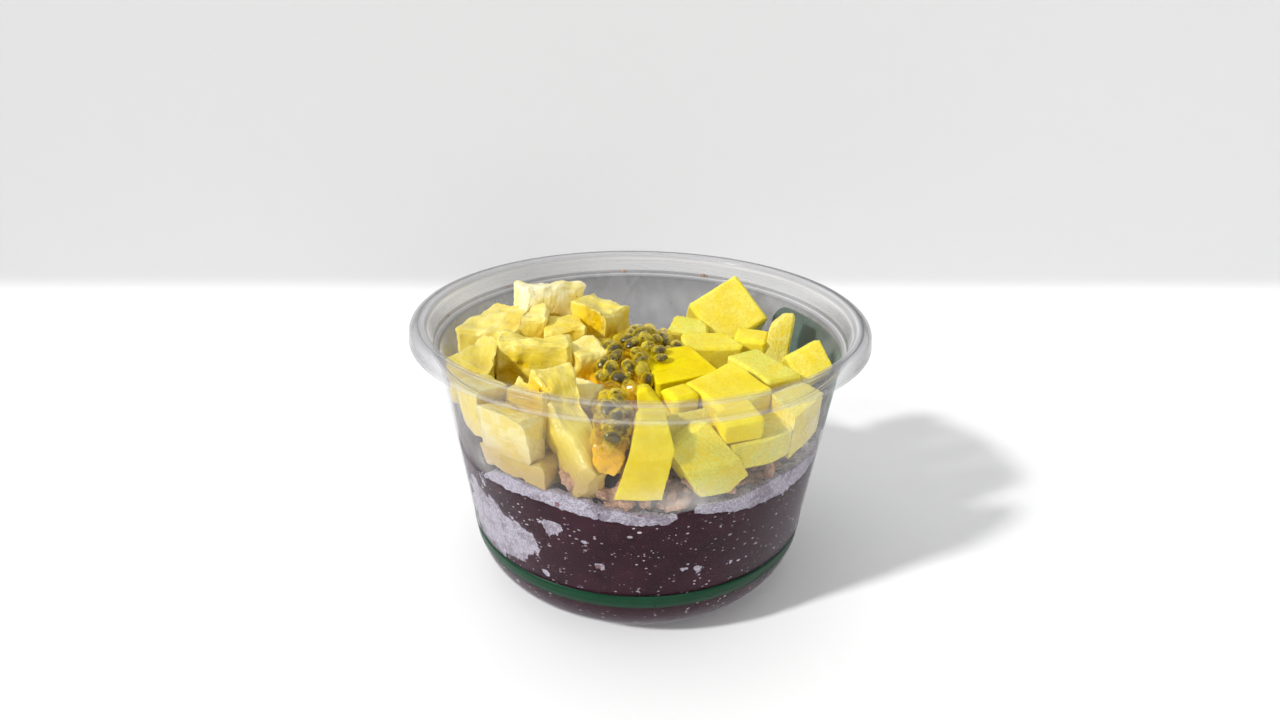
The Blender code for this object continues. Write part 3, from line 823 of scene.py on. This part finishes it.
def mangoMaterial():
    material, tree, shader = newMaterial("mangoFlesh", Roughness=0.36, Subsurface_Weight=0.08,
                                         Subsurface_Scale=1.2 * mm)
    shader.inputs["Specular IOR Level"].default_value = 0.06
    shader.inputs["Subsurface Radius"].default_value = (1.0, 0.75, 0.2)
    spot = placeOf(tree)
    grain = painted(tree, "grain", "Vector")
    ripe = painted(tree, "ripe")
    tone = use(tree, mottle, Vector=spot, Scale=110.0, Contrast=1.5)
    pale = mixColour(tree, tone, (0.85, 0.74, 0.12), (0.89, 0.83, 0.3))
    deep = mixColour(tree, tone, (0.79, 0.58, 0.0), (0.85, 0.7, 0.0))
    flesh = mixColour(tree, ripe, pale, deep)
    # painted shade: sides and undersides turn a deeper orange
    flesh = mixColour(tree, calc(tree, "MULTIPLY", painted(tree, "side"), 0.45), flesh, (0.85, 0.64, 0.001))
    # painted highlight: lighter flesh along the cut edges
    rim = calc(tree, "MULTIPLY", painted(tree, "rim"), remap(tree, tone, 0.1, 0.9, 0.3, 0.8))
    flesh = mixColour(tree, rim, flesh, mixColour(tree, ripe, (0.93, 0.85, 0.2), (0.93, 0.84, 0.02)))
    lime = calc(tree, "MULTIPLY", painted(tree, "lime"), remap(tree, tone, 0.1, 0.8, 0.4, 1.0))
    flesh = mixColour(tree, lime, flesh, (0.69, 0.74, 0.12))
    velvet = put(tree, "TexNoise", {"Vector": scaled(tree, grain, (1.0, 1.0, 0.55)), "Scale": 2300.0,
                                    "Detail": 3.0, "Roughness": 0.65}).outputs[0]
    nap = remap(tree, ripe, 0.1, 0.8, 1.0, 0.45)
    flesh = mixColour(tree, calc(tree, "MULTIPLY", remap(tree, velvet, 0.55, 0.3, 0.0, 0.8), nap), flesh,
                      (0.76, 0.52, 0.004))
    # painted sheen highlight on the raised nap
    flesh = mixColour(tree, calc(tree, "MULTIPLY", remap(tree, velvet, 0.52, 0.7, 0.0, 0.45), nap), flesh,
                      mixColour(tree, ripe, (0.96, 0.9, 0.34), (0.96, 0.86, 0.02)))
    patches = remap(tree, use(tree, mottle, Vector=spot, Scale=260.0, Contrast=1.4), 0.55, 0.2, 0.0, 0.4)
    flesh = mixColour(tree, patches, flesh, (0.85, 0.64, 0.0))
    tree.links.new(flesh, shader.inputs["Base Color"])
    bump(tree, shader, calc(tree, "MULTIPLY", velvet, nap), 0.3 * mm, 0.85)
    tree.links.new(remap(tree, velvet, 0.3, 0.7, 0.26, 0.5), shader.inputs["Roughness"])
    return material


def pineappleMaterial():
    material, tree, shader = newMaterial("pineappleFlesh", Roughness=0.3, Subsurface_Weight=0.14,
                                         Subsurface_Scale=1.6 * mm)
    shader.inputs["Specular IOR Level"].default_value = 0.35
    shader.inputs["Subsurface Radius"].default_value = (1.0, 0.8, 0.35)
    spot = placeOf(tree)
    grain = painted(tree, "grain", "Vector")
    fibres = put(tree, "TexNoise", {"Vector": scaled(tree, grain, (1.0, 1.0, 0.2)), "Scale": 1500.0,
                                    "Detail": 3.0}).outputs[0]
    tone = use(tree, mottle, Vector=spot, Scale=150.0, Contrast=1.7)
    cells = use(tree, mottle, Vector=spot, Scale=420.0, Contrast=1.3)
    flesh = mixColour(tree, tone, (0.82, 0.66, 0.045), (0.86, 0.74, 0.16))
    flesh = mixColour(tree, remap(tree, cells, 0.6, 0.2, 0.0, 0.35), flesh, (0.86, 0.64, 0.09))
    flesh = mixColour(tree, remap(tree, fibres, 0.56, 0.3, 0.0, 0.3), flesh, (0.84, 0.65, 0.07))
    flesh = mixColour(tree, remap(tree, fibres, 0.52, 0.7, 0.0, 0.3), flesh, (0.95, 0.88, 0.42))
    # painted shade: sides and undersides turn a deeper gold
    paintedShadeBelow = calc(tree, "MULTIPLY", painted(tree, "side"), remap(tree, tone, 0.9, 0.2, 0.3, 1.0), clamp=True)
    flesh = mixColour(tree, paintedShadeBelow, flesh, (0.84, 0.63, 0.02))
    # painted highlight: paler flesh along the cut edges
    flesh = mixColour(tree, calc(tree, "MULTIPLY", painted(tree, "rim"), 0.25), flesh, (0.95, 0.87, 0.46))
    paler = calc(tree, "MULTIPLY", painted(tree, "paler"), remap(tree, tone, 0.1, 0.7, 0.35, 0.85))
    flesh = mixColour(tree, paler, flesh, (0.95, 0.9, 0.6))
    height = put(tree, "SeparateXYZ", {"Vector": spot}).outputs[2]
    # painted shade: flesh darkens toward the blend, low in the tub
    paintedShadeLow = remap(tree, height, 58 * mm, 47 * mm, 0.0, 0.85)
    flesh = mixColour(tree, paintedShadeLow, flesh, (0.5, 0.34, 0.14))
    # golden translucent flesh, partly painted shade on shaded faces
    golden = calc(tree, "MULTIPLY", painted(tree, "golden"), calc(tree, "MULTIPLY_ADD", cells, 0.7, 0.75), clamp=True)
    flesh = mixColour(tree, golden, flesh, (0.76, 0.5, 0.004))
    eye = calc(tree, "MULTIPLY_ADD", calc(tree, "SUBTRACT", cells, 0.5), 0.8, painted(tree, "eye"))
    flesh = mixColour(tree, remap(tree, eye, 0.35, 0.75, 0.0, 0.9), flesh, (0.12, 0.045, 0.012))
    tree.links.new(flesh, shader.inputs["Base Color"])
    bump(tree, shader, calc(tree, "MULTIPLY_ADD", cells, 0.6, fibres), 0.2 * mm, 0.6)
    tree.links.new(remap(tree, calc(tree, "MULTIPLY_ADD", golden, -0.4, fibres), 0.0, 0.7, 0.1, 0.42),
                   shader.inputs["Roughness"])
    return material


def buildFruit():
    materials = {"mango": mangoMaterial(), "pineapple": pineappleMaterial()}
    chunks = sorted(name for name in nodes if name.split("_")[0] in materials)
    for number, node in enumerate(chunks):
        family, part = node.split("_")
        mesh = carve(node, mango if family == "mango" else pineapple, 1.7 * number)
        addPiece(family + part.capitalize(), mesh, materials[family], [node])
    total = sum(len(nodes[name].data.polygons) for name in chunks)
    print("fruit,", len(chunks), "chunks, from", total, "faces")


# ---- scattered things: where they lie and what shape they have

def treeOf(names):
    points, faces = [], []
    for name in names:
        mesh = nodes[name].data
        shift = len(points)
        points += [vert.co.copy() for vert in mesh.vertices]
        faces += [[shift + index for index in polygon.vertices] for polygon in mesh.polygons]
    return BVHTree.FromPolygons(points, faces)


def scatter(node, count, spacing, rng, leastUp=-1.0):
    # points spread over a solid's outside, none closer than the spacing, each with the outward direction
    bm = mergedCopy(node)
    bmesh.ops.triangulate(bm, faces=bm.faces)
    faces = [face for face in bm.faces if face.normal.z > leastUp]
    weights = [face.calc_area() for face in faces]
    found = []
    for face in rng.choices(faces, weights, k=count):
        a, b = sorted((rng.random(), rng.random()))
        corners = [vert.co for vert in face.verts]
        point = corners[0] * a + corners[1] * (b - a) + corners[2] * (1 - b)
        if all((point - other).length > spacing * mm for other, normal in found):
            found.append((point, face.normal.copy()))
    bm.free()
    return found


def pebble(bm, centre, radii, turn, rng, uneven=0.0, subdivisions=2):
    made = bmesh.ops.create_icosphere(bm, subdivisions=subdivisions, radius=1.0)["verts"]
    shift = Vector((rng.uniform(0, 50), rng.uniform(0, 50), rng.uniform(0, 50)))
    for vert in made:
        swell = 1 + uneven * noise.fractal(vert.co * 1.7 + shift, 0.9, 2.0, 2)
        vert.co *= swell
        vert.co = Vector((vert.co.x * radii[0], vert.co.y * radii[1], vert.co.z * radii[2])) * mm
    bmesh.ops.transform(bm, matrix=Matrix.Translation(centre) @ turn, verts=made)


def lying(normal, rng, wobble=0.5):
    # a turn that lays a flat thing along a surface, spun at random
    tilt = (normal + Vector((rng.uniform(-1, 1), rng.uniform(-1, 1), rng.uniform(-1, 1))) * wobble).normalized()
    return (tilt.to_track_quat("Z", "Y").to_matrix().to_4x4()
            @ Matrix.Rotation(rng.uniform(0, 2 * pi), 4, "Z"))


# ---- the granola

granola = {
    "voxel": 0.6, "shrink": 0.9, "relief": 0.8, "crumbs": 900, "spacing": 2.3,
    # clumps that show through the wall: angle, height, distance in from the wall, radii
    "clumps": ((-107.5, 47.4, 3.2, (3.6, 2.4, 2.2)), (-105, 46.0, 3.0, (2.4, 2.0, 1.6)),
               (-91.5, 50.0, 2.4, (2.6, 1.6, 1.5)), (-94, 46.5, 2.6, (2.2, 1.8, 2.4)),
               (-90.5, 46.2, 2.8, (1.9, 1.7, 2.2)), (-98.5, 45.6, 2.3, (2.6, 1.6, 1.4)),
               (-93, 43.4, 2.0, (2.0, 1.5, 1.5)), (-88, 44.0, 2.2, (1.6, 1.4, 1.6)),
               (-75.5, 49.0, 2.6, (2.0, 1.7, 1.7)), (-72.5, 46.0, 2.4, (1.5, 1.4, 1.3)),
               (-50.5, 46.2, 1.8, (1.1, 1.4, 2.9)), (-79, 43.2, 1.8, (3.2, 1.4, 1.3)),
               (-96.8, 43.0, 2.2, (1.8, 1.4, 1.2)), (-64, 44.8, 1.9, (1.6, 1.2, 1.0))),
    "ledgeCrumbs": ((96.5, 0.75), (68.0, 0.8), (66.8, 0.45), (101.0, 0.35), (140.0, 0.4), (172.0, 0.35)),
}


def granolaMaterial(name, dark, light):
    material, tree, shader = newMaterial(name, Roughness=0.75, Subsurface_Weight=0.05, Subsurface_Scale=1 * mm)
    spot = placeOf(tree)
    tone = use(tree, mottle, Vector=spot, Scale=260.0, Contrast=1.8)
    crust = mixColour(tree, tone, dark, light)
    oats = use(tree, specks, Vector=spot, Scale=650.0, Size=0.5, Share=0.35)
    crust = mixColour(tree, calc(tree, "MULTIPLY", oats, 0.6), crust, tuple(min(1.0, 1.5 * part) for part in light))
    tree.links.new(crust, shader.inputs["Base Color"])
    rough = put(tree, "TexNoise", {"Vector": spot, "Scale": 1500.0, "Detail": 4.0}).outputs[0]
    bump(tree, shader, rough, 0.35 * mm, 0.9)
    return material


def buildGranola():
    rng = Random(11)
    mesh = remeshed(mergedCopy("granola"), granola["voxel"] * mm)
    points, outward = pointsOf(mesh), pointsOf(mesh, "normal")
    relief = granola["relief"] * roughness(points, 420.0, 3) - granola["shrink"]
    movePoints(mesh, points + outward * (np.minimum(relief, 0.0) * mm)[:, None])
    addPiece("granolaHeap", mesh, granolaMaterial("granolaBed", (0.16, 0.07, 0.03), (0.42, 0.24, 0.11)),
             ["granola"])

    fruit = treeOf([name for name in nodes if name.split("_")[0] in ("mango", "pineapple", "passion")])
    bm = bmesh.new()
    for point, normal in scatter("granola", granola["crumbs"], granola["spacing"], rng, 0.1):
        size = rng.uniform(0.9, 2.0)
        centre = point - normal * 0.35 * size * mm
        if fruit.find_nearest(centre, 0.8 * size * mm)[0] is None:
            radii = (size, size * rng.uniform(0.6, 0.9), size * rng.uniform(0.45, 0.8))
            pebble(bm, centre, radii, lying(normal, rng), rng, 0.45)
    for angle, z, inward, radii in granola["clumps"]:
        reach = wallRadius(z, tub["sheet"] + inward)
        centre = Vector((reach * cos(radians(angle)), reach * sin(radians(angle)), z)) * mm
        turn = Matrix.Rotation(radians(angle + 90), 4, "Z") @ Matrix.Rotation(rng.uniform(-0.4, 0.4), 4, "Y")
        pebble(bm, centre, radii, turn, rng, 0.4, 3)
    for angle, size in granola["ledgeCrumbs"]:
        reach = tub["ledge"][0] - 0.2
        centre = Vector((reach * cos(radians(angle)), reach * sin(radians(angle)),
                         tub["ledge"][1] + tub["sheet"] + 0.6 * size)) * mm
        pebble(bm, centre, (size, 0.7 * size, 0.6 * size), lying(Vector((0, 0, 1)), rng, 0.2), rng, 0.5)
    addPiece("granolaCrumbs", bm, granolaMaterial("granolaCrumb", (0.23, 0.1, 0.055), (0.56, 0.34, 0.21)))
    print("granola")


# ---- the passion fruit pulp

pulp = {
    "voxel": 0.55, "shrink": 1.1, "drop": 1.9, "spacing": 3.4, "tries": 2600,
    "sac": (2.8, 2.1, 2.0), "seed": (2.2, 1.45, 0.85), "sunk": 1.6,
}


def pulpMaterials():
    core, tree, shader = newMaterial("pulpJelly", Roughness=0.12, Subsurface_Weight=0.3,
                                     Subsurface_Scale=2.5 * mm)
    shader.inputs["Subsurface Radius"].default_value = (1.0, 0.5, 0.05)
    spot = placeOf(tree)
    tone = use(tree, mottle, Vector=spot, Scale=150.0, Contrast=1.5)
    height = put(tree, "SeparateXYZ", {"Vector": spot}).outputs[2]
    jelly = mixColour(tree, tone, (0.4, 0.19, 0.002), (0.72, 0.42, 0.006))
    jelly = mixColour(tree, remap(tree, height, 60 * mm, 56 * mm), jelly, (0.88, 0.5, 0.02))
    tree.links.new(jelly, shader.inputs["Base Color"])
    lumps = put(tree, "TexNoise", {"Vector": spot, "Scale": 500.0, "Detail": 2.0}).outputs[0]
    bump(tree, shader, lumps, 0.5 * mm, 0.8)

    sac, tree, shader = newMaterial("pulpSac", Roughness=0.06, IOR=1.42, Coat_Weight=0.5)
    spot = placeOf(tree)
    tone = use(tree, mottle, Vector=spot, Scale=190.0, Contrast=1.8)
    height = put(tree, "SeparateXYZ", {"Vector": spot}).outputs[2]
    jelly = mixColour(tree, tone, (0.66, 0.47, 0.012), (0.94, 0.74, 0.03))
    jelly = mixColour(tree, remap(tree, height, 61 * mm, 57 * mm), jelly, (0.95, 0.6, 0.03))
    tree.links.new(jelly, shader.inputs["Base Color"])
    edge = put(tree, "LayerWeight", {"Blend": 0.5}).outputs["Facing"]
    thickness = calc(tree, "MULTIPLY_ADD", calc(tree, "POWER", edge, 1.6), 0.6,
                     remap(tree, tone, 0.2, 0.9, 0.06, 0.4))
    tree.links.new(calc(tree, "MINIMUM", thickness, 1.0), shader.inputs["Alpha"])
    wrinkles = put(tree, "TexNoise", {"Vector": spot, "Scale": 420.0, "Detail": 2.0}).outputs[0]
    bump(tree, shader, wrinkles, 0.35 * mm, 0.6)

    seed, tree, shader = newMaterial("pulpSeed", Roughness=0.18)
    spot = placeOf(tree)
    tone = use(tree, mottle, Vector=spot, Scale=300.0, Contrast=1.4)
    tree.links.new(mixColour(tree, tone, (0.008, 0.007, 0.005), (0.045, 0.042, 0.025)), shader.inputs["Base Color"])
    pits = put(tree, "TexVoronoi", {"Vector": spot, "Scale": 1700.0}).outputs["Distance"]
    bump(tree, shader, pits, 0.12 * mm, 0.6)
    return core, sac, seed


def buildPulp():
    rng = Random(5)
    coreLook, sacLook, seedLook = pulpMaterials()
    mesh = remeshed(mergedCopy("passion_pulp"), pulp["voxel"] * mm)
    points, outward = pointsOf(mesh), pointsOf(mesh, "normal")
    lumps = 0.9 * roughness(points, 330.0, 2)
    high = np.clip((points[:, 2] / mm - 57) / 4, 0, 1)
    points = points + outward * (np.minimum(lumps - pulp["shrink"] * high - 0.4, -0.3) * mm)[:, None]
    points[:, 2] -= pulp["drop"] * high * mm
    movePoints(mesh, points)
    addPiece("pulpHeap", mesh, coreLook, ["passion_pulp"])

    fruit = treeOf([name for name in nodes if name.split("_")[0] in ("mango", "pineapple")])
    sacs, seeds = bmesh.new(), bmesh.new()
    for point, normal in scatter("passion_pulp", pulp["tries"], pulp["spacing"], rng, -0.35):
        size = rng.uniform(0.82, 1.12)
        centre = point - normal * pulp["sunk"] * mm
        gap = fruit.find_nearest(centre, 4 * mm)[3]
        room = min(1.0, (gap / mm) / 1.9) if gap is not None else 1.0
        if room < 0.45 or (point.z < 59 * mm and rng.random() < 0.5):
            continue
        turn = lying(normal, rng, 0.7)
        pebble(sacs, centre, [size * room * part for part in pulp["sac"]], turn, rng, 0.12, 3)
        if rng.random() < (0.86 if point.z > 61 * mm else 0.12):
            inner = centre + normal * 0.25 * mm
            pebble(seeds, inner, [size * min(1.0, room + 0.1) * part for part in pulp["seed"]], turn, rng, 0.06, 3)
    addPiece("pulpSacs", sacs, sacLook)
    addPiece("pulpSeeds", seeds, seedLook)
    print("passion fruit pulp")


buildView()
buildTub()
buildPrint()
buildBlend()
buildFruit()
buildGranola()
buildPulp()
